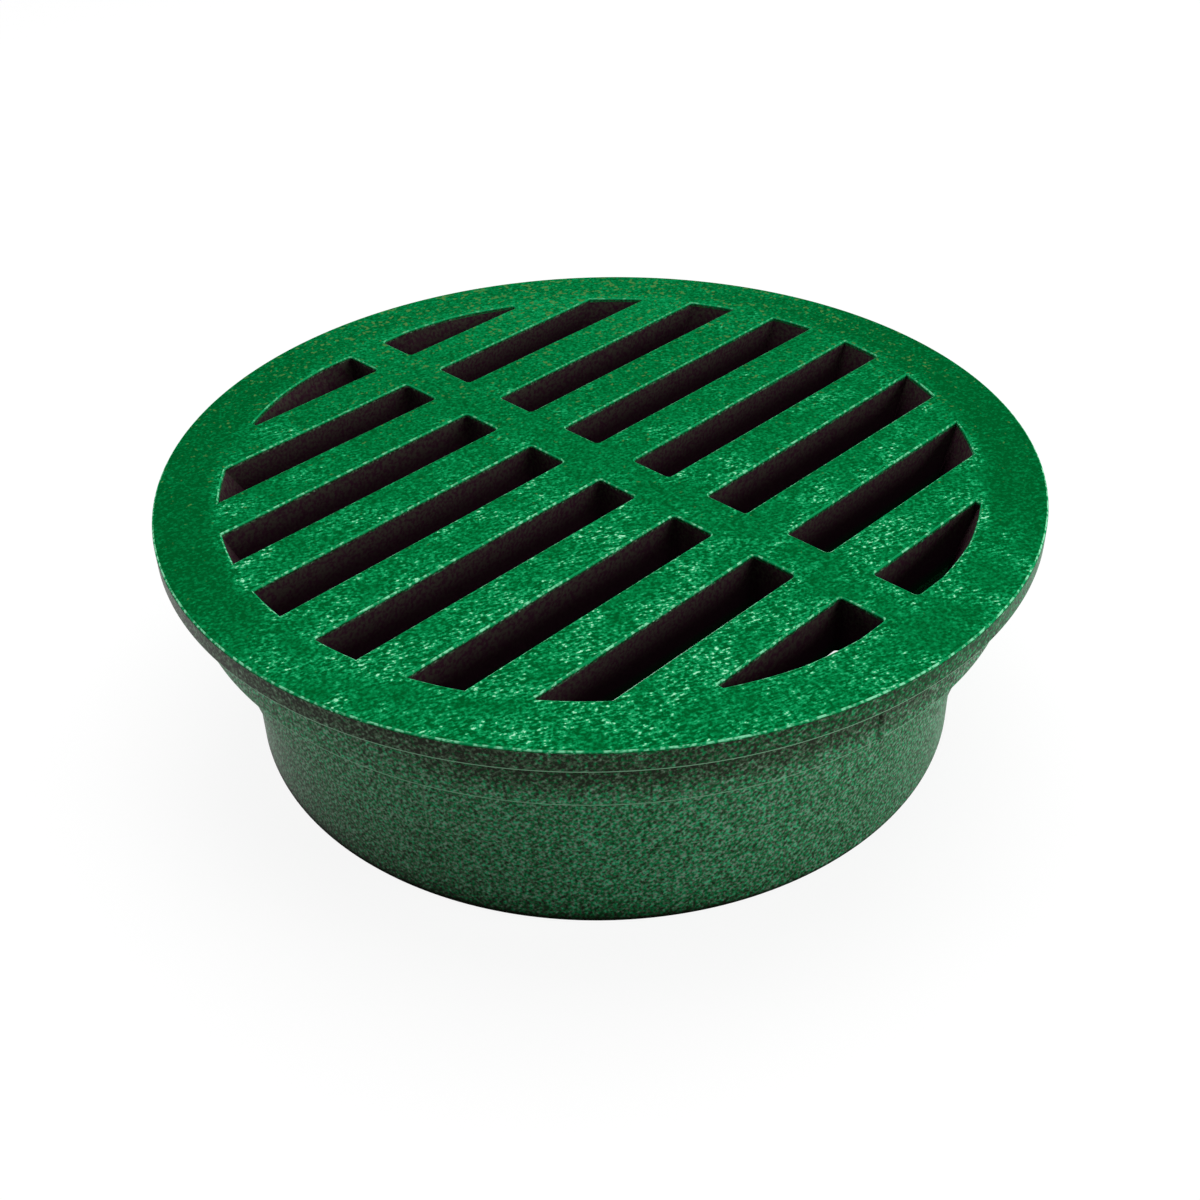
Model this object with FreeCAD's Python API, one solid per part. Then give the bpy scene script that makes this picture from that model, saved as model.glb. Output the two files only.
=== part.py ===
# Round drain grate, moulded in one piece: a flat slotted disc with a flanged
# rim, over a stepped open collar that drops into a drain pipe.
# Millimetres, +Z up. The origin is the centre of the collar's foot. The bars
# run along X, and the spine crosses them along Y.
import FreeCAD
import Part
import math
import os

# Collar, from the foot upwards
spigot_diameter = 150.2     # lowest step, enters a thin-walled pipe
spigot_height = 20.0
spigot_wall = 3.2           # sets the bore, which is plain up to the bars
middle_step = 1.9           # middle step stands this far outside the spigot
middle_height = 17.7
shoulder_step = 7.0         # shoulder stands this far outside the middle step
shoulder_height = 12.0

# Flanged rim
rim_overhang = 5.0          # stands this far outside the shoulder
rim_height = 4.6

# Grating
shoulder_wall = 7.8         # from the shoulder's face to the slots' outer ends
bar_depth = 11.9
bar_width = 10.1
slot_width = 9.8
spine_width = 9.7
slot_lip = 1.0              # upright part of the slots' outer ends, below the top
slot_flank_radius = 95.0    # the slots' ring is flatter towards the spine's ends,
slot_flank_inset = 0.85     # where it comes in by this much

# Upright half-round ribs that centre the collar, a pair on each upper step
rib_radius = 1.0
rib_proud = 0.5
shoulder_rib_angle = 79.5   # degrees round from +X
middle_rib_angle = 20.5

# Edges
slot_edge_chamfer = 0.45    # round the slots' mouths
slot_corner_radius = 0.8    # upright corners inside the slots
rim_top_radius = 0.5
rim_foot_chamfer = 0.5
step_chamfer = 0.6          # lower edge of the shoulder and the middle step
foot_chamfer = 0.9          # lower edges of the spigot
edge_share = 0.45           # most of a wall that one rounded or bevelled edge takes

# Sizes that follow
spigot_radius = spigot_diameter / 2
bore_radius = spigot_radius - spigot_wall
middle_radius = spigot_radius + middle_step
shoulder_radius = middle_radius + shoulder_step
rim_radius = shoulder_radius + rim_overhang
slot_ring_radius = shoulder_radius - shoulder_wall
slot_flank_centre = slot_ring_radius - slot_flank_inset - slot_flank_radius

middle_base = spigot_height
shoulder_base = middle_base + middle_height
rim_base = shoulder_base + shoulder_height
top = rim_base + rim_height
bar_base = top - bar_depth
slot_pitch = slot_width + bar_width

origin = FreeCAD.Vector(0, 0, 0)
axis_x = FreeCAD.Vector(1, 0, 0)
axis_y = FreeCAD.Vector(0, 1, 0)
axis_up = FreeCAD.Vector(0, 0, 1)
tolerance = 1e-6


def section(radius, height):
    return FreeCAD.Vector(radius, 0, height)


def within(size, *walls):
    return min(size, edge_share * min(walls))


def circles_at(shape, radius, height):
    def lies_there(edge):
        if not isinstance(edge.Curve, Part.Circle):
            return False
        radius_off = abs(edge.Curve.Radius - radius)
        height_off = abs(edge.Curve.Center.z - height)
        return max(radius_off, height_off) < tolerance
    return [edge for edge in shape.Edges if lies_there(edge)]


# Disc, flange and stepped collar: one section revolved, with its edges eased
def turned_body():
    outline = [
        section(0, top),
        section(rim_radius, top),
        section(rim_radius, rim_base),
        section(shoulder_radius, rim_base),
        section(shoulder_radius, shoulder_base),
        section(middle_radius, shoulder_base),
        section(middle_radius, middle_base),
        section(spigot_radius, middle_base),
        section(spigot_radius, 0),
        section(bore_radius, 0),
        section(bore_radius, bar_base),
        section(0, bar_base),
    ]
    face = Part.Face(Part.makePolygon(outline + outline[:1]))
    body = face.revolve(origin, axis_up, 360)

    bevelled = [
        (rim_radius, rim_base, within(rim_foot_chamfer, rim_height, rim_overhang)),
        (shoulder_radius, shoulder_base, within(step_chamfer, shoulder_step, shoulder_height)),
        (middle_radius, middle_base, within(step_chamfer, middle_step, middle_height)),
        (spigot_radius, 0, within(foot_chamfer, spigot_wall, spigot_height)),
        (bore_radius, 0, within(foot_chamfer, spigot_wall, spigot_height)),
    ]
    for radius, height, size in bevelled:
        body = body.makeChamfer(size, circles_at(body, radius, height))
    rounding = within(rim_top_radius, rim_height, rim_overhang)
    return body.makeFillet(rounding, circles_at(body, rim_radius, top))


# A pair of opposite ribs on one step, standing on the step's bevelled edge
def centring_ribs(face_radius, base, height, angle):
    reach = face_radius + rib_proud - rib_radius
    ribs = []
    for turn in (angle, angle + 180):
        foot = FreeCAD.Vector(
            reach * math.cos(math.radians(turn)),
            reach * math.sin(math.radians(turn)),
            base + step_chamfer,
        )
        ribs.append(Part.makeCylinder(rib_radius, height - step_chamfer, foot))
    return ribs


# Room inside the slots' outer ends: from the lip it slopes in to the bore
def slot_funnel():
    slope = (slot_ring_radius - bore_radius) / (bar_depth - slot_lip)
    mouth_radius = bore_radius + slope * bar_depth
    return Part.makeCone(bore_radius, mouth_radius, bar_depth, section(0, bar_base))


# What bounds the slots' outer ends on the +Y side
def slot_ring():
    ring = Part.makeCylinder(slot_ring_radius, bar_depth, section(0, bar_base))
    flank_foot = FreeCAD.Vector(0, slot_flank_centre, bar_base)
    return ring.common(Part.makeCylinder(slot_flank_radius, bar_depth, flank_foot))


# Upright corners of a slot, less the slight turns where its side meets the flank
def slot_corners(prism):
    def is_corner(edge):
        foot = edge.Vertexes[0].Point
        from_flank = math.hypot(foot.x, foot.y - slot_flank_centre) - slot_flank_radius
        at_spine = foot.x < spine_width / 2 + tolerance
        return edge.BoundBox.ZLength > tolerance and (at_spine or abs(from_flank) > tolerance)
    return [edge for edge in prism.Edges if is_corner(edge)]


# What one slot on the +X side takes away
def slot_cutter(row_centre):
    near_corner = FreeCAD.Vector(spine_width / 2, row_centre - slot_width / 2, bar_base)
    block = Part.makeBox(slot_ring_radius, slot_width, bar_depth, near_corner)
    prism = block.common(slot_ring())
    rounding = within(slot_corner_radius, slot_width)
    return prism.makeFillet(rounding, slot_corners(prism)).common(slot_funnel())


# Rows on the +Y side, from the middle outwards. Beside the spine at least half
# of a slot's width opens into the bore.
def row_centres():
    reach = math.sqrt(bore_radius ** 2 - (spine_width / 2) ** 2)
    centre = slot_pitch / 2
    rows = []
    while centre < reach:
        rows.append(centre)
        centre += slot_pitch
    return rows


def slot_cutters():
    cutters = [slot_cutter(centre) for centre in row_centres()]
    for normal in (axis_x, axis_y):
        cutters += [cutter.mirror(origin, normal) for cutter in cutters]
    return cutters


def slot_mouths(shape):
    disc = next(face for face in shape.Faces if face.BoundBox.ZMin > top - tolerance)
    mouths = [wire for wire in disc.Wires if not wire.isSame(disc.OuterWire)]
    return [edge for mouth in mouths for edge in mouth.Edges]


def round_grate():
    ribs = centring_ribs(shoulder_radius, shoulder_base, shoulder_height, shoulder_rib_angle)
    ribs += centring_ribs(middle_radius, middle_base, middle_height, middle_rib_angle)
    grate = turned_body().fuse(ribs).cut(slot_cutters()).removeSplitter().Solids[0]
    return grate.makeChamfer(within(slot_edge_chamfer, slot_lip, bar_width), slot_mouths(grate))


grate = round_grate()
print("solids", len(grate.Solids), "valid", grate.isValid(), "litres", round(grate.Volume / 1e6, 4))
os.makedirs("parts", exist_ok=True)
grate.exportStep("parts/round_grate.step")
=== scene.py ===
import bmesh
import bpy
import math
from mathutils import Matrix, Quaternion, Vector


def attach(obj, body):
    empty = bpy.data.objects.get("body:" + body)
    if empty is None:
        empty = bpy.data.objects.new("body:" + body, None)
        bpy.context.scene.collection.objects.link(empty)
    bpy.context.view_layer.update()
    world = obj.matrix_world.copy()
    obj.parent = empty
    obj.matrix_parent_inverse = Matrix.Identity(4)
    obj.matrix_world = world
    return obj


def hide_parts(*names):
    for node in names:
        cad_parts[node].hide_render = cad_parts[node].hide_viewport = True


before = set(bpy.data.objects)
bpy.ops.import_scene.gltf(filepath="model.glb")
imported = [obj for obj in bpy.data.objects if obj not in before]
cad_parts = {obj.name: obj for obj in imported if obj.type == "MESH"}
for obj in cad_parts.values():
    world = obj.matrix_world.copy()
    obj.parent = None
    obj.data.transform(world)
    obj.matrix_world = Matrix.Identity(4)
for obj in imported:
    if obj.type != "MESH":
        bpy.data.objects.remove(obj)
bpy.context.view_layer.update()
mm = 0.001
tolerance = 0.001 * mm

# Stepped collar and flanged rim, in millimetres
collar = {
    "spigotRadius": 75.1,
    "boreRadius": 71.9,
    "middleRadius": 77.0,
    "shoulderRadius": 84.0,
    "rimRadius": 89.0,
    "middleBase": 20.0,
    "shoulderBase": 37.7,
    "rimBase": 49.7,
    "top": 54.3,
    "barDepth": 11.9,
    "rimRound": 0.5,
    "rimFootRound": 0.5,
    "stepRound": 0.6,
    "footRound": 0.9,
    "turnSteps": 240,
    "roundSegments": 4,
    "sharpAngle": 40.0,     # degrees; edges with a larger turn stay sharp
}
barBase = collar["top"] - collar["barDepth"]

# Slots in the disc, in millimetres
slots = {
    "ringRadius": 76.2,
    "width": 9.8,
    "pitch": 19.9,
    "spine": 9.7,
    "rows": 4,              # on each side of the middle
    "lip": 1.0,             # upright part of the outer ends
    "flankRadius": 95.0,    # the ring is flatter towards the spine's ends,
    "flankInset": 0.85,     # where it comes in by this much
    "tipWidth": 1.2,        # the outermost slots end blunt
    "cornerRound": 0.8,
    "mouthRound": 0.5,
    "mouthAngle": 30.0,     # degrees; a mouth's edge turns by more
    "flatAngle": 0.2,       # degrees; faces that turn by less become one
    "arcSteps": 480,
    "spare": 1.0,           # cutters run past the disc above and below
    "funnelSpare": 2.0,
}

# Centring ribs on the two upper steps, in millimetres and degrees
ribs = {
    "radius": 1.0,
    "proud": 0.5,
    "shoulderAngle": 79.5,
    "middleAngle": 20.5,
    "sides": 24,
}


def meshObject(name, bm):
    mesh = bpy.data.meshes.new(name)
    bm.to_mesh(mesh)
    bm.free()
    obj = bpy.data.objects.new(name, mesh)
    bpy.context.scene.collection.objects.link(obj)
    return obj


def spinProfile(points, steps):
    bm = bmesh.new()
    verts = [bm.verts.new((radius * mm, 0, height * mm)) for radius, height in points]
    for first, second in zip(verts, verts[1:]):
        bm.edges.new((first, second))
    bmesh.ops.spin(bm, geom=bm.verts[:] + bm.edges[:], cent=(0, 0, 0), axis=(0, 0, 1),
                   angle=2 * math.pi, steps=steps, use_merge=True)
    openEdges = [edge for edge in bm.edges if edge.is_boundary]
    bmesh.ops.holes_fill(bm, edges=openEdges, sides=0)
    bmesh.ops.recalc_face_normals(bm, faces=bm.faces)
    return bm


def roundOff(bm, geom, size, affect='EDGES'):
    bmesh.ops.bevel(bm, geom=geom, offset=size * mm, offset_type='OFFSET', profile=0.5,
                    segments=collar["roundSegments"], affect=affect, material=-1)


def ringEdges(bm, radius, height):
    def onRing(vert):
        radiusOff = math.hypot(vert.co.x, vert.co.y) - radius * mm
        heightOff = vert.co.z - height * mm
        return max(abs(radiusOff), abs(heightOff)) < 10 * tolerance
    return [edge for edge in bm.edges if all(onRing(vert) for vert in edge.verts)]


def collarBody():
    rim, rimBase, top = collar["rimRadius"], collar["rimBase"], collar["top"]
    shoulder, shoulderBase = collar["shoulderRadius"], collar["shoulderBase"]
    middle, middleBase = collar["middleRadius"], collar["middleBase"]
    spigot, bore = collar["spigotRadius"], collar["boreRadius"]
    bm = spinProfile([
        (rim, top),
        (rim, rimBase),
        (shoulder, rimBase),
        (shoulder, shoulderBase),
        (middle, shoulderBase),
        (middle, middleBase),
        (spigot, middleBase),
        (spigot, 0),
        (bore, 0),
        (bore, barBase),
    ], collar["turnSteps"])
    rounds = [
        (rim, top, collar["rimRound"]),
        (rim, rimBase, collar["rimFootRound"]),
        (shoulder, shoulderBase, collar["stepRound"]),
        (middle, middleBase, collar["stepRound"]),
        (spigot, 0, collar["footRound"]),
        (bore, 0, collar["footRound"]),
    ]
    for radius, height, size in rounds:
        roundOff(bm, ringEdges(bm, radius, height), size)
    return meshObject("grateMoulding", bm)


# Each rib stands above a step's rounded edge and runs on into the step above
def centringRibs():
    bm = bmesh.new()
    shoulder, shoulderBase = collar["shoulderRadius"], collar["shoulderBase"]
    middle, middleBase = collar["middleRadius"], collar["middleBase"]
    steps = [
        (shoulder, shoulderBase, collar["rimBase"], ribs["shoulderAngle"]),
        (middle, middleBase, shoulderBase, ribs["middleAngle"]),
    ]
    for faceRadius, base, ceiling, angle in steps:
        foot = base + collar["stepRound"]
        length = ceiling + ribs["radius"] - foot
        reach = faceRadius + ribs["proud"] - ribs["radius"]
        for turn in (math.radians(angle), math.radians(angle + 180)):
            rib = bmesh.ops.create_cone(bm, cap_ends=True, segments=ribs["sides"],
                                        radius1=ribs["radius"] * mm,
                                        radius2=ribs["radius"] * mm, depth=length * mm)
            away = Vector((math.cos(turn), math.sin(turn), 0)) * reach
            middlePoint = (away + Vector((0, 0, foot + length / 2))) * mm
            bmesh.ops.translate(bm, verts=rib["verts"], vec=middlePoint)
    return meshObject("centringRibs", bm)


# Flat slot shapes: a disc is cut along the bars and the spine, and the bars' cells go
def slotCells():
    ring, flank = slots["ringRadius"], slots["flankRadius"]
    pitch, halfWidth, halfSpine = slots["pitch"], slots["width"] / 2, slots["spine"] / 2
    bm = bmesh.new()
    bmesh.ops.create_circle(bm, cap_ends=True, radius=ring * mm, segments=slots["arcSteps"])
    flankCentre = ring - slots["flankInset"] - flank
    for vert in bm.verts:
        reach = flankCentre + math.sqrt(flank ** 2 - (vert.co.x / mm) ** 2)
        vert.co.y = math.copysign(min(abs(vert.co.y), reach * mm), vert.co.y)
    cuts = [((halfSpine, 0), (1, 0))]
    for row in range(slots["rows"]):
        centre = pitch * (row + 0.5)
        cuts += [((0, centre - halfWidth), (0, 1)), ((0, centre + halfWidth), (0, 1))]
    for side in (1, -1):
        for point, normal in cuts:
            bmesh.ops.bisect_plane(bm, geom=bm.verts[:] + bm.edges[:] + bm.faces[:],
                                   plane_co=Vector((*point, 0)) * mm * side,
                                   plane_no=(*normal, 0))

    def isBar(face):
        centre = face.calc_center_bounds() / mm
        fromSlot = abs(abs(centre.y) % pitch - pitch / 2)
        return fromSlot > halfWidth or abs(centre.x) < halfSpine
    bars = [face for face in bm.faces if isBar(face)]
    bmesh.ops.delete(bm, geom=bars, context='FACES')
    return bm


# The outermost slots taper to points, which are cut off where they get too narrow
def bluntTips(bm):
    inner = slots["pitch"] * (slots["rows"] - 0.5) - slots["width"] / 2
    tip = math.sqrt(slots["ringRadius"] ** 2 - (inner + slots["tipWidth"]) ** 2)
    for side in (1, -1):
        centres = [(face, face.calc_center_bounds()) for face in bm.faces]
        faces = [face for face, centre in centres
                 if abs(centre.y) > inner * mm and centre.x * side > 0]
        # Each one once, in a fixed order, which sets would not keep
        edges = dict.fromkeys(edge for face in faces for edge in face.edges)
        verts = dict.fromkeys(vert for face in faces for vert in face.verts)
        bmesh.ops.bisect_plane(bm, geom=[*faces, *edges, *verts], clear_outer=True,
                               plane_co=(side * tip * mm, 0, 0), plane_no=(side, 0, 0))


def slotCutters():
    bm = slotCells()
    bluntTips(bm)
    besideSpine = slots["spine"] / 2 * mm
    corners = [vert for vert in bm.verts if abs(abs(vert.co.x) - besideSpine) < tolerance]
    roundOff(bm, corners, slots["cornerRound"], 'VERTICES')
    foot = barBase - slots["spare"]
    length = collar["barDepth"] + 2 * slots["spare"]
    bmesh.ops.translate(bm, verts=bm.verts, vec=(0, 0, foot * mm))
    raised = bmesh.ops.extrude_face_region(bm, geom=bm.faces[:])["geom"]
    raisedVerts = [item for item in raised if isinstance(item, bmesh.types.BMVert)]
    bmesh.ops.translate(bm, verts=raisedVerts, vec=(0, 0, length * mm))
    bmesh.ops.recalc_face_normals(bm, faces=bm.faces)
    return meshObject("slotCutters", bm)


# The slots' outer ends slope in from the lip to the bore
def slotFunnel():
    bore, depth, spare = collar["boreRadius"], collar["barDepth"], slots["funnelSpare"]
    slope = (slots["ringRadius"] - bore) / (depth - slots["lip"])
    foot = (bore - slope * spare, barBase - spare)
    mouth = (bore + slope * (depth + spare), collar["top"] + spare)
    return meshObject("slotFunnel", spinProfile([foot, mouth], slots["arcSteps"]))


def combine(piece, tool, operation):
    modifier = piece.modifiers.new("combine", 'BOOLEAN')
    modifier.operation = operation
    modifier.solver = 'EXACT'
    modifier.object = tool
    shaped = piece.evaluated_get(bpy.context.evaluated_depsgraph_get())
    mesh = bpy.data.meshes.new_from_object(shaped)
    piece.modifiers.clear()
    piece.data = mesh
    bpy.data.objects.remove(tool)


def roundSlotMouths(piece):
    bm = bmesh.new()
    bm.from_mesh(piece.data)
    bmesh.ops.remove_doubles(bm, verts=bm.verts, dist=tolerance)
    bmesh.ops.dissolve_limit(bm, angle_limit=math.radians(slots["flatAngle"]),
                             verts=bm.verts, edges=bm.edges)

    def onMouth(edge):
        onTop = all(abs(vert.co.z - collar["top"] * mm) < tolerance for vert in edge.verts)
        return onTop and edge.calc_face_angle(0) > math.radians(slots["mouthAngle"])
    roundOff(bm, [edge for edge in bm.edges if onMouth(edge)], slots["mouthRound"])
    bm.to_mesh(piece.data)
    bm.free()


def smoothShading(piece):
    piece.data.shade_smooth()
    piece.data.set_sharp_from_angle(angle=math.radians(collar["sharpAngle"]))
    modifier = piece.modifiers.new("flatFaces", 'WEIGHTED_NORMAL')
    modifier.keep_sharp = True


moulding = collarBody()
combine(moulding, centringRibs(), 'UNION')
cutters = slotCutters()
combine(cutters, slotFunnel(), 'INTERSECT')
combine(moulding, cutters, 'DIFFERENCE')
roundSlotMouths(moulding)
smoothShading(moulding)
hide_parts("round_grate")
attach(moulding, "root")
print("moulding:", len(moulding.data.polygons), "faces")

# Top of the moulding. Here and below, colours are linear, sizes are in
# millimetres, and a range is where a change starts and where it ends.
plastic = {
    "grains": [
        (0.26, (0.0002, 0.090, 0.018, 1)),
        (0.48, (0.0008, 0.182, 0.046, 1)),
        (0.66, (0.0050, 0.310, 0.098, 1)),
        (0.80, (0.0300, 0.430, 0.172, 1)),
        # The palest stop is a painted glint
        (1.00, (0.4000, 0.860, 0.560, 1)),
    ],
    "grainSize": 0.60,
    "streakLength": 1.4,
    "streakWidth": 0.46,
    "streakTurn": -24.0,            # degrees round from +X
    "swirlSize": 46.0,
    "swirlReach": 9.0,
    "patchSize": 8.0,
    "patchShare": 0.85,
    "patchRange": (0.325, 0.625),   # from plain to streaky
    # The streaks are painted glints
    "gather": (-1.3, -1.8, 0.0),    # the streaks thicken this way
    "rimShare": -0.12,
    "rimEase": 4.0,                 # outwards from the slots
    "sideShare": -0.20,             # on the rim, away from the front
    "sideRange": (0.05, 0.12),      # along the gather
    "spineShare": -0.11,
    "spineEase": 3.0,
    "plainLevel": 0.39,
    # Painted shade on the rim's sides, and painted light towards the back
    "sideShade": -0.10,
    "backLit": 0.13,
    "backRange": (-0.20, -0.08),    # along the gather
    "streakLevel": 0.50,
    "plainGain": 0.85,              # of the grain
    "plainStreaks": 0.85 / 3,
    "streakGain": 1.50,
    "olive": (0.072, 0.200, 0.050, 1),
    "speckSize": 1.1,
    "speckGather": -0.7,            # the specks thicken the other way
    "speckRange": (0.70, 0.82),
    "relief": 0.030,
    "roughness": 0.42,
    "specular": 0.0,
}

# Walls of the collar and the rim
walls = {
    "greens": [
        (0.31, (0.0006, 0.070, 0.016, 1)),
        (0.50, (0.0090, 0.230, 0.074, 1)),
        (0.70, (0.0700, 0.490, 0.240, 1)),
    ],
    "browns": [
        (0.31, (0.0150, 0.018, 0.010, 1)),
        (0.50, (0.0720, 0.126, 0.072, 1)),
        (0.70, (0.2300, 0.360, 0.260, 1)),
    ],
    "hueRange": (0.40, 0.60),       # from green to brown
    "grainSize": 0.62,
    "front": 135.0,                 # turns the side that the photo shows to +X
    "hatchTurn": 40.0,
    "hatchLength": 2.6,
    "hatchWidth": 0.55,
    "hatchShare": 0.4,
    # Painted shade and painted grey reflection: browner towards the sides
    "browning": (-0.35, 0.35, 0.0),  # browner this way,
    "farBrowning": -0.7,            # and less so the other way
    "footBrowning": 3.0,            # how much more so at the foot
    # Painted shade: darker and browner on the rim band and close below the rim, and darker by
    # the foot
    "rimBrowning": 0.07,            # all round the rim
    "rimBrowningTurn": 4.0,         # how much more so on the rim
    "rimShade": -0.125,
    "rimRange": (-5.0, 0.2),        # up from the rim's foot
    "nookBrowning": 0.10,           # close below the rim
    "nookShade": -0.16,
    "nookRange": (-12.0, -3.5),     # up from the rim's foot
    "nookFade": (0.004, 0.03),      # along the browning
    "darkSide": (-0.03, 0.0),       # along the browning
    "footShade": -0.13,
    "footHeight": 7.0,
    "uprightRange": (0.06, 0.22),   # how far a face looks up
    "specular": 0.050,
    "footSpecular": 0.015,
    "roughness": 0.36,
}

# Eased edges with painted highlights, and a dark line round the foot, which is painted contact
# shadow
eased = {
    "top": (0.006, 0.295, 0.096, 1),
    "topFacing": (0.35, 0.60, 0.93, 0.985),
    "bead": (0.190, 0.700, 0.390, 1),
    "beadSize": 1.0,
    "beadRange": (0.48, 0.67),
    "beadSpecular": 0.3,
    "backBeads": 0.4,
    "backRange": (-0.12, 0.08),     # along the gather
    # More painted highlights round the front of the rim
    "rimBeads": 0.07,               # more of them round the front of the rim
    "rimRange": (-1.0, -0.6),       # outwards from the rim's radius
    "frontRange": (-0.02, 0.08),    # along the gather
    # Painted highlight on the lower edges of the rim and the steps
    "low": (0.190, 0.420, 0.250, 1),
    "lowFacing": (-0.98, -0.92, -0.22, -0.06),
    "lowShare": 0.15,               # at the middle step, and all of it at the rim
    # Painted contact shadow round the foot
    "foot": (0.008, 0.006, 0.004, 1),
    "footShare": 0.95,
    "footStart": 0.6,
    "footLine": 2.6,
    "brightFootLine": 1.3,          # on the side that is less brown
}

# Slots and bore, in painted shade
inside = {
    # Painted shade in the slots, with paler flecks
    "dark": (0.042, 0.014, 0.026, 1),
    "flecked": (0.056, 0.049, 0.038, 1),
    "fleckRange": (0.35, 0.65),
    "fleckTop": 1.0,                 # below the top, as are the next three
    "fleckDepth": 10.0,
    "depth": 0.7,
    "fullDepth": 1.0,
    # Painted shade, dark green
    "deep": (0.005, 0.050, 0.018, 1),   # in the bore and under the bars
    "deepEase": 3.0,
    "margin": 0.1,
    "grainSize": 0.7,
    "specular": 0.0,
}


def newMaterial(name):
    material = bpy.data.materials.new(name)
    material.use_nodes = True
    material.node_tree.nodes.clear()
    return material, material.node_tree


def setInput(tree, socket, value):
    if isinstance(value, bpy.types.NodeSocket):
        tree.links.new(value, socket)
    else:
        socket.default_value = value


# A node with its settings; each input takes a constant or another node's socket
def addNode(tree, kind, inputs, **settings):
    made = tree.nodes.new("ShaderNode" + kind)
    for name, value in settings.items():
        setattr(made, name, value)
    for name, value in inputs.items():
        setInput(tree, made.inputs[name], value)
    return made


def maths(tree, operation, *values):
    inputs = dict(enumerate(values))
    return addNode(tree, "Math", inputs, operation=operation).outputs["Value"]


def vectorMaths(tree, operation, *values):
    inputs = dict(enumerate(values))
    return addNode(tree, "VectorMath", inputs, operation=operation).outputs


def noise(tree, place, size, detail=2.0):
    inputs = {"Vector": place, "Scale": 1 / (size * mm), "Detail": detail}
    return addNode(tree, "TexNoise", inputs).outputs["Fac"]


def streaks(tree, place, turn, length, width):
    laid = addNode(tree, "Mapping", {
        "Vector": place,
        "Rotation": (0, 0, math.radians(turn)),
        "Scale": (length * mm, width * mm, width * mm),
    }, vector_type='TEXTURE').outputs["Vector"]
    inputs = {"Vector": laid, "Scale": 1.0, "Detail": 1.0}
    return addNode(tree, "TexNoise", inputs).outputs["Fac"]


def ramp(tree, value, span, ends=(0.0, 1.0)):
    low, high = span
    made = addNode(tree, "MapRange", {
        "Value": value,
        "From Min": low,
        "From Max": high,
        "To Min": ends[0],
        "To Max": ends[1],
    }, interpolation_type='SMOOTHSTEP')
    return made.outputs["Result"]


# Rises over the first two values and falls over the last two
def window(tree, value, span):
    rising = ramp(tree, value, span[:2])
    falling = ramp(tree, value, span[2:], (1.0, 0.0))
    return maths(tree, 'MULTIPLY', rising, falling)


def between(tree, share, first, second):
    inputs = {"Value": share, "To Min": first, "To Max": second}
    return addNode(tree, "MapRange", inputs).outputs["Result"]


def blend(tree, factor, first, second):
    made = addNode(tree, "Mix", {}, data_type='RGBA')
    sockets = [socket for socket in made.inputs if socket.enabled]
    for socket, value in zip(sockets, (factor, first, second)):
        setInput(tree, socket, value)
    return next(socket for socket in made.outputs if socket.enabled)


def colourRamp(tree, value, stops):
    made = addNode(tree, "ValToRGB", {"Fac": value})
    elements = made.color_ramp.elements
    elements[0].position, elements[0].color = stops[0]
    elements[-1].position, elements[-1].color = stops[-1]
    for position, colour in stops[1:-1]:
        elements.new(position).color = colour
    return made.outputs["Color"]


# Millimetres from a base, as a span in metres
def spanFrom(base, offsets):
    return [(base + offset) * mm for offset in offsets]


# Where a point of the moulding is and which way it faces, for all its paints
def surfacePlaces(tree):
    coords = addNode(tree, "TexCoord", {}).outputs
    place = coords["Object"]
    axes = addNode(tree, "SeparateXYZ", {"Vector": place}).outputs
    flat = vectorMaths(tree, 'MULTIPLY', place, (1, 1, 0))["Vector"]
    facing = addNode(tree, "SeparateXYZ", {"Vector": coords["Normal"]}).outputs["Z"]
    browning = vectorMaths(tree, 'DOT_PRODUCT', place, walls["browning"])["Value"]
    return {
        "place": place,
        "height": axes["Z"],
        "aside": maths(tree, 'ABSOLUTE', axes["X"]),
        "radius": vectorMaths(tree, 'LENGTH', flat)["Value"],
        "facing": facing,
        "upright": ramp(tree, facing, walls["uprightRange"], (1.0, 0.0)),
        "towards": vectorMaths(tree, 'DOT_PRODUCT', place, plastic["gather"])["Value"],
        "browning": browning,
        "darkSide": ramp(tree, browning, walls["darkSide"]),
    }
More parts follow.
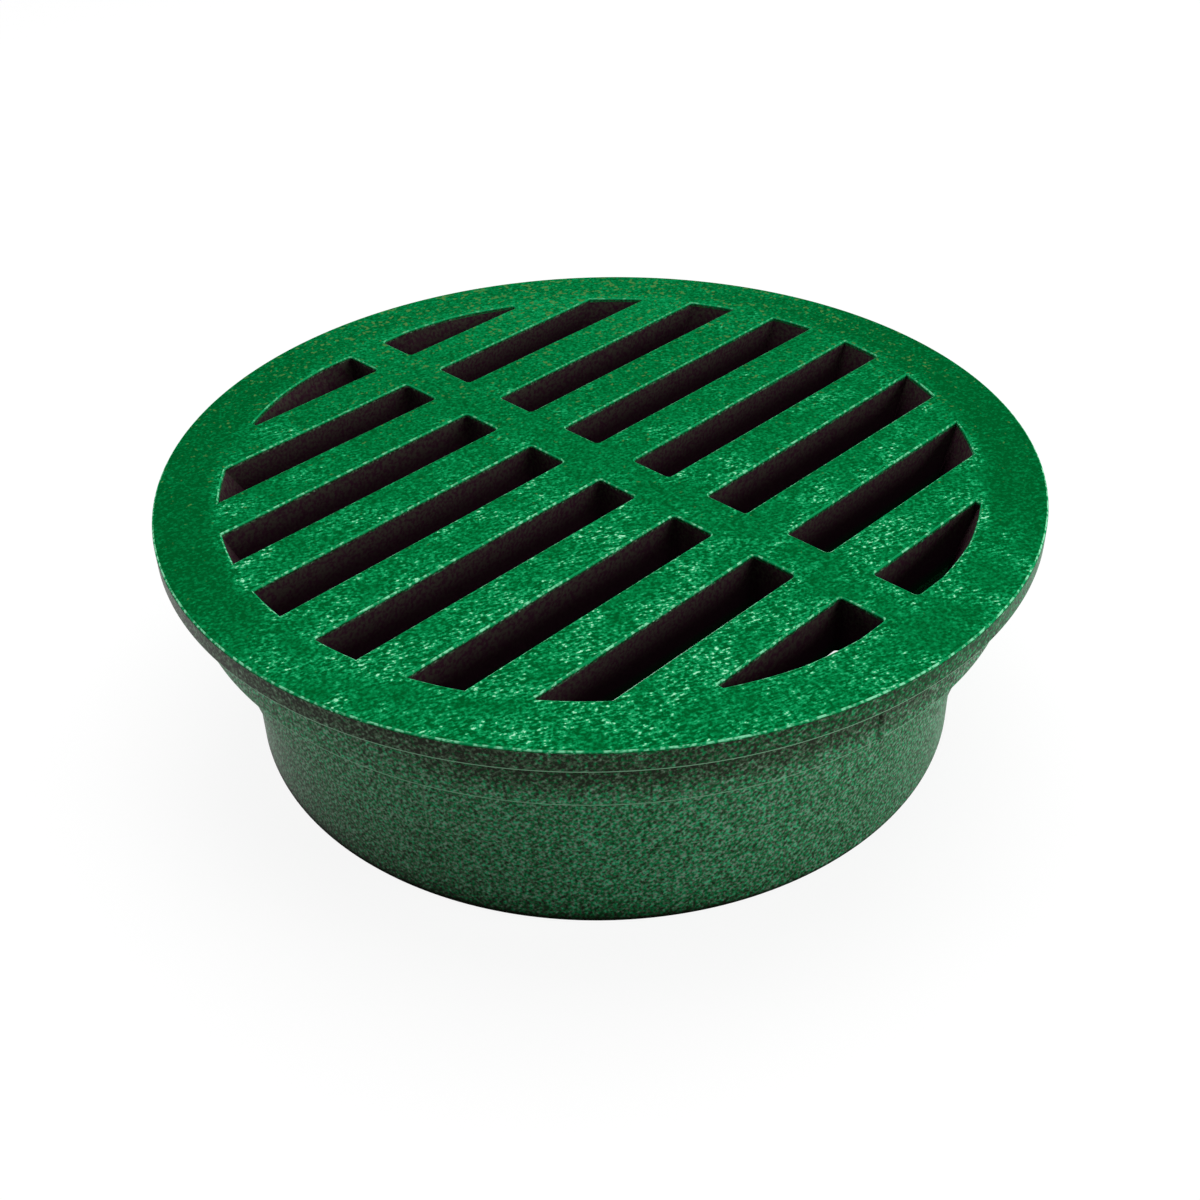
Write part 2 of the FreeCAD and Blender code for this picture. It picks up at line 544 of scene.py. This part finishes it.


# Mottled green, the plastic's own grain, with short pale streaks, which are painted glints and
# swirl and gather in patches
def topPaint(tree, at):
    place, towards = at["place"], at["towards"]
    swirl = addNode(tree, "TexNoise", {
        "Vector": place, "Scale": 1 / (plastic["swirlSize"] * mm), "Detail": 0.0,
    }).outputs["Color"]
    centred = vectorMaths(tree, 'SUBTRACT', swirl, (0.5, 0.5, 0.5))["Vector"]
    reach = (plastic["swirlReach"] * mm,) * 3
    bent = vectorMaths(tree, 'MULTIPLY_ADD', centred, reach, place)["Vector"]
    grain = noise(tree, place, plastic["grainSize"], 1.0)
    streak = streaks(tree, bent, plastic["streakTurn"], plastic["streakLength"],
                     plastic["streakWidth"])

    # Where the streaks, which are painted glints, are: thicker to the front, thinner on the rim
    # and the spine
    onRim = ramp(tree, at["radius"], spanFrom(slots["ringRadius"], (0, plastic["rimEase"])))
    toSide = ramp(tree, towards, plastic["sideRange"], (1.0, 0.0))
    atSides = maths(tree, 'MULTIPLY', onRim, toSide)
    besideSpine = spanFrom(slots["spine"] / 2, (0, plastic["spineEase"]))
    onSpine = ramp(tree, at["aside"], besideSpine, (plastic["spineShare"], 0.0))
    patches = noise(tree, bent, plastic["patchSize"])
    patches = maths(tree, 'MULTIPLY_ADD', patches, plastic["patchShare"], onSpine)
    gathered = maths(tree, 'ADD', towards, patches)
    gathered = maths(tree, 'MULTIPLY_ADD', onRim, plastic["rimShare"], gathered)
    gathered = maths(tree, 'MULTIPLY_ADD', atSides, plastic["sideShare"], gathered)
    share = ramp(tree, gathered, plastic["patchRange"])

    # How bright: a level, with painted shade on the rim's sides and painted light towards the
    # back, and grain and streaks about it
    atBack = ramp(tree, towards, plastic["backRange"], (plastic["backLit"], 0.0))
    plain = maths(tree, 'MULTIPLY_ADD', atSides, plastic["sideShade"], plastic["plainLevel"])
    level = between(tree, share, maths(tree, 'ADD', plain, atBack), plastic["streakLevel"])
    streakGain = between(tree, share, plastic["plainStreaks"], plastic["streakGain"])
    level = maths(tree, 'MULTIPLY_ADD', maths(tree, 'SUBTRACT', streak, 0.5), streakGain, level)
    grainGain = between(tree, share, plastic["plainGain"], plastic["streakGain"])
    level = maths(tree, 'MULTIPLY_ADD', maths(tree, 'SUBTRACT', grain, 0.5), grainGain, level)
    mottled = colourRamp(tree, level, plastic["grains"])

    specks = noise(tree, place, plastic["speckSize"], 1.0)
    specks = maths(tree, 'MULTIPLY_ADD', towards, plastic["speckGather"], specks)
    speckled = ramp(tree, specks, plastic["speckRange"])
    return blend(tree, speckled, mottled, plastic["olive"]), level


# Darker and greyer than the top, which is painted shade and painted grey reflection, with a
# slanting grain, and brownish round the rim
def wallPaint(tree, at):
    height, browning = at["height"], at["browning"]
    turned = addNode(tree, "Mapping", {
        "Vector": at["place"], "Rotation": (0, 0, math.radians(walls["front"])),
    }).outputs["Vector"]
    across = addNode(tree, "SeparateXYZ", {"Vector": turned}).outputs
    angle = maths(tree, 'ARCTAN2', across["Y"], across["X"])
    around = maths(tree, 'MULTIPLY', angle, collar["middleRadius"] * mm)
    unrolled = addNode(tree, "CombineXYZ", {"X": around, "Y": height}).outputs["Vector"]
    hatch = streaks(tree, unrolled, walls["hatchTurn"], walls["hatchLength"],
                    walls["hatchWidth"])
    grain = noise(tree, at["place"], walls["grainSize"])

    # Painted shade: darker on the rim, close below it, and by the foot on the darker side
    nearRim = ramp(tree, height, spanFrom(collar["rimBase"], walls["rimRange"]))
    belowRim = maths(tree, 'LESS_THAN', height, collar["rimBase"] * mm)
    nookFade = ramp(tree, browning, walls["nookFade"], (1.0, 0.0))
    nook = ramp(tree, height, spanFrom(collar["rimBase"], walls["nookRange"]))
    nook = maths(tree, 'MULTIPLY', nook, maths(tree, 'MULTIPLY', belowRim, nookFade))
    footSpan = spanFrom(0, (0, walls["footHeight"]))
    low = ramp(tree, height, footSpan, (walls["footShade"], 0.0))
    level = maths(tree, 'MULTIPLY_ADD', low, at["darkSide"], grain)
    slant = maths(tree, 'SUBTRACT', hatch, 0.5)
    level = maths(tree, 'MULTIPLY_ADD', slant, walls["hatchShare"], level)
    level = maths(tree, 'MULTIPLY_ADD', nearRim, walls["rimShade"], level)
    level = maths(tree, 'MULTIPLY_ADD', nook, walls["nookShade"], level)

    # Browner on one side, most of all at the foot and on the rim, and less so on the other
    # side: painted shade and painted grey reflection
    stepSpan = spanFrom(0, (0, collar["shoulderBase"]))
    footTurn = ramp(tree, height, stepSpan, (walls["footBrowning"], 1.0))
    nearSide = maths(tree, 'MULTIPLY', browning, footTurn)
    farSide = maths(tree, 'MULTIPLY', browning, walls["farBrowning"])
    hue = noise(tree, unrolled, walls["grainSize"], 1.0)
    hue = maths(tree, 'ADD', hue, maths(tree, 'MAXIMUM', nearSide, farSide))
    hue = maths(tree, 'MULTIPLY_ADD', nook, walls["nookBrowning"], hue)
    rimHue = maths(tree, 'MULTIPLY_ADD', browning, walls["rimBrowningTurn"],
                   walls["rimBrowning"])
    hue = maths(tree, 'MULTIPLY_ADD', nearRim, rimHue, hue)
    greens = colourRamp(tree, level, walls["greens"])
    browns = colourRamp(tree, level, walls["browns"])
    return blend(tree, ramp(tree, hue, walls["hueRange"]), greens, browns), grain


# Eased edges are brighter, as painted highlights, and those of the top glisten in beads,
# painted highlights with real specular
def edgePaint(tree, at, bare):
    height, towards = at["height"], at["towards"]
    lowEase = window(tree, at["facing"], eased["lowFacing"])
    stepSpan = spanFrom(0, (collar["middleBase"], collar["rimBase"]))
    lowShare = ramp(tree, height, stepSpan, (eased["lowShare"], 1.0))
    lowEdged = blend(tree, maths(tree, 'MULTIPLY', lowEase, lowShare), bare, eased["low"])
    # A painted contact shadow round the foot, lower on the less brown side
    footLine = between(tree, at["darkSide"], eased["brightFootLine"] * mm,
                       eased["footLine"] * mm)
    footSpan = (eased["footStart"] * mm, footLine)
    onFoot = ramp(tree, height, footSpan, (eased["footShare"], 0.0))
    footed = blend(tree, onFoot, lowEdged, eased["foot"])

    rimSpan = spanFrom(collar["rimRadius"], eased["rimRange"])
    onRim = ramp(tree, at["radius"], rimSpan, (0.0, eased["rimBeads"]))
    atFront = ramp(tree, towards, eased["frontRange"])
    beads = noise(tree, at["place"], eased["beadSize"], 1.0)
    beads = maths(tree, 'MULTIPLY_ADD', onRim, atFront, beads)
    beadShare = ramp(tree, towards, eased["backRange"], (eased["backBeads"], 1.0))
    beads = maths(tree, 'MULTIPLY', ramp(tree, beads, eased["beadRange"]), beadShare)
    topEdge = blend(tree, beads, eased["top"], eased["bead"])
    topEase = window(tree, at["facing"], eased["topFacing"])
    glisten = maths(tree, 'MULTIPLY', topEase, beads)
    return blend(tree, topEase, footed, topEdge), glisten, onFoot


# Painted shade: slots nearly black, with paler flecks near the top, and dark green below the
# bars
def insidePaint(tree, at):
    height, radius = at["height"], at["radius"]
    margin = inside["margin"]
    sillSpan = spanFrom(collar["top"], (-inside["fullDepth"], -inside["depth"]))
    below = ramp(tree, height, sillSpan, (1.0, 0.0))
    inBore = maths(tree, 'LESS_THAN', radius, (collar["boreRadius"] + margin) * mm)
    inRing = maths(tree, 'LESS_THAN', radius, (slots["ringRadius"] + margin) * mm)
    inBars = maths(tree, 'GREATER_THAN', height, (barBase - margin) * mm)
    enclosed = maths(tree, 'MAXIMUM', inBore, maths(tree, 'MULTIPLY', inRing, inBars))
    inShade = maths(tree, 'MULTIPLY', enclosed, below)

    fleckSpan = spanFrom(collar["top"], (-inside["fleckDepth"], -inside["fleckTop"]))
    flecks = ramp(tree, noise(tree, at["place"], inside["grainSize"]), inside["fleckRange"])
    flecks = maths(tree, 'MULTIPLY', flecks, ramp(tree, height, fleckSpan))
    flecked = blend(tree, flecks, inside["dark"], inside["flecked"])
    deepSpan = spanFrom(barBase, (0, inside["deepEase"]))
    deep = ramp(tree, height, deepSpan, (1.0, 0.0))
    return blend(tree, deep, flecked, inside["deep"]), inShade


def greenPlastic():
    material, tree = newMaterial("greenPlastic")
    at = surfacePlaces(tree)
    upright = at["upright"]
    topColour, topLevel = topPaint(tree, at)
    wallColour, wallGrain = wallPaint(tree, at)
    bare = blend(tree, upright, topColour, wallColour)
    outerColour, glisten, onFoot = edgePaint(tree, at, bare)
    insideColour, inShade = insidePaint(tree, at)

    bump = addNode(tree, "Bump", {
        "Height": between(tree, upright, topLevel, wallGrain),
        "Strength": 1.0,
        "Distance": plastic["relief"] * mm,
    })
    topShine = between(tree, glisten, plastic["specular"], eased["beadSpecular"])
    wallSpan = spanFrom(0, (eased["footLine"], collar["rimBase"]))
    wallShine = ramp(tree, at["height"], wallSpan, (walls["footSpecular"], walls["specular"]))
    wallShine = between(tree, onFoot, wallShine, 0.0)
    outerShine = between(tree, upright, topShine, wallShine)
    shader = addNode(tree, "BsdfPrincipled", {
        "Base Color": blend(tree, inShade, outerColour, insideColour),
        "Roughness": between(tree, upright, plastic["roughness"], walls["roughness"]),
        "Specular IOR Level": between(tree, inShade, outerShine, inside["specular"]),
        "Normal": bump.outputs["Normal"],
    })
    addNode(tree, "OutputMaterial", {"Surface": shader.outputs["BSDF"]})
    return material


moulding.data.materials.clear()
moulding.data.materials.append(greenPlastic())
print("plastic done")

# Floor, lamps and camera, in metres and degrees
studio = {
    "floorSize": 6.0,
    "floorColour": (0.85, 0.85, 0.85, 1),
    "floorGlow": 0.86,      # share of plain white that the camera and reflections see
    "glowLevel": 1.05,
    "ambient": 0.06,
    "surround": 1.0,        # what the camera and reflections see beyond the floor
}
lamps = {
    "backTop": {"size": 0.9, "power": 10.7, "right": 0.08, "back": 0.24, "up": 1.0},
    "frontRight": {"size": 0.6, "power": 6.5, "right": 1.05, "back": -0.35, "up": 0.35},
    "left": {"size": 0.6, "power": 2.2, "right": -1.0, "back": 0.15, "up": 0.30},
}
view = {
    "azimuth": 45.04,       # the camera stands this far round from -Y towards -X
    "elevation": 30.91,
    "distance": 319.3,      # from the centre of the top, in millimetres as are the aims
    "aimHeight": 29.85,
    "aimNear": 14.64,       # aim this far in front of the axis
    "aimRight": -0.47,
    "roll": -1.59,
    "lens": 46.886,
}
turn = math.radians(view["azimuth"])
viewRight = Vector((math.cos(turn), -math.sin(turn), 0))
viewAway = Vector((math.sin(turn), math.cos(turn), 0))


# 1 for rays that show the surround as it is, and 0 for those that carry its light
def seenRays(tree):
    ray = addNode(tree, "LightPath", {}).outputs
    seen = maths(tree, 'MAXIMUM', ray["Is Camera Ray"], ray["Is Glossy Ray"])
    return maths(tree, 'MAXIMUM', seen, ray["Is Transmission Ray"])


def whiteFloor():
    material, tree = newMaterial("whiteFloor")
    paint = addNode(tree, "BsdfDiffuse", {"Color": studio["floorColour"]}).outputs["BSDF"]
    glow = addNode(tree, "Emission", {"Strength": studio["glowLevel"]}).outputs["Emission"]
    share = maths(tree, 'MULTIPLY', seenRays(tree), studio["floorGlow"])
    mix = addNode(tree, "MixShader", {"Fac": share, 1: paint, 2: glow})
    addNode(tree, "OutputMaterial", {"Surface": mix.outputs["Shader"]})
    return material


def studioFloor():
    bm = bmesh.new()
    bmesh.ops.create_grid(bm, x_segments=1, y_segments=1, size=studio["floorSize"] / 2)
    floor = meshObject("studioFloor", bm)
    floor.data.materials.append(whiteFloor())


def areaLamp(name, settings):
    light = bpy.data.lights.new(name, 'AREA')
    light.size = settings["size"]
    light.energy = settings["power"]
    lamp = bpy.data.objects.new(name, light)
    bpy.context.scene.collection.objects.link(lamp)
    level = viewRight * settings["right"] + viewAway * settings["back"]
    lamp.location = level + Vector((0, 0, settings["up"]))
    aim = Vector((0, 0, collar["top"] * mm)) - lamp.location
    lamp.rotation_mode = 'QUATERNION'
    lamp.rotation_quaternion = aim.to_track_quat('-Z', 'Y')


def studioWorld():
    world = bpy.data.worlds.new("studioWorld")
    world.use_nodes = True
    tree = world.node_tree
    tree.nodes.clear()
    strength = between(tree, seenRays(tree), studio["ambient"], studio["surround"])
    sky = addNode(tree, "Background", {"Color": (1, 1, 1, 1), "Strength": strength})
    addNode(tree, "OutputWorld", {"Surface": sky.outputs["Background"]})
    bpy.context.scene.world = world


def photoCamera():
    camera = bpy.data.objects.new("photoCamera", bpy.data.cameras.new("photoCamera"))
    bpy.context.scene.collection.objects.link(camera)
    rise = math.radians(view["elevation"])
    outwards = Vector((0, 0, math.sin(rise))) - viewAway * math.cos(rise)
    camera.location = (Vector((0, 0, collar["top"])) + outwards * view["distance"]) * mm
    aim = viewRight * view["aimRight"] - viewAway * view["aimNear"]
    aim = (aim + Vector((0, 0, view["aimHeight"]))) * mm
    facing = (aim - camera.location).to_track_quat('-Z', 'Y')
    roll = Quaternion((0, 0, 1), math.radians(view["roll"]))
    camera.rotation_mode = 'QUATERNION'
    camera.rotation_quaternion = facing @ roll
    camera.data.lens = view["lens"]
    bpy.context.scene.camera = camera


studioFloor()
for lampName, lampSettings in lamps.items():
    areaLamp(lampName, lampSettings)
studioWorld()
photoCamera()
bpy.context.scene.view_settings.view_transform = 'Standard'
print("studio done")
